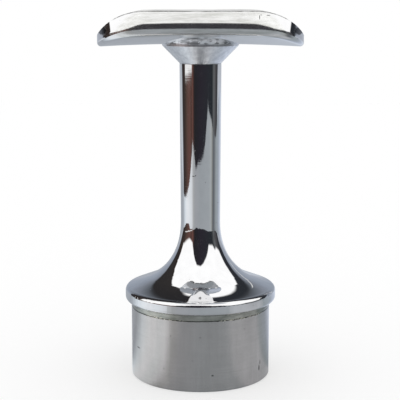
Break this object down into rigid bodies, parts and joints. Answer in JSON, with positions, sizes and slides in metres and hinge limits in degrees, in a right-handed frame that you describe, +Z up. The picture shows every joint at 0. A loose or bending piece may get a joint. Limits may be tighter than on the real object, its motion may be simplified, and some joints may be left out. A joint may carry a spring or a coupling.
{
  "type": "handrail bracket",
  "caption": "Post-top handrail bracket: a hollow spigot and domed flange carry a flared stem and a trough-shaped saddle that cradles a round rail",
  "frame": {"origin": "on the vertical axis, in the plane of the flange's underside, where the end of the post tube bears", "axes": "+Z up the stem towards the rail, X along the rail, Y across the rail"},
  "size_m": [0.0678, 0.0508, 0.1227],
  "materials": {
    "post_steel": "mirror-polished stainless steel, brushed on the spigot",
    "saddle_steel": "mirror-polished stainless steel",
    "screw_steel": "plain stainless steel with a satin head"
  },
  "bodies": {
    "root": {"post_casting": "post_steel", "rail_saddle": "saddle_steel", "saddle_screw": "screw_steel"}
  },
  "joints": []
}
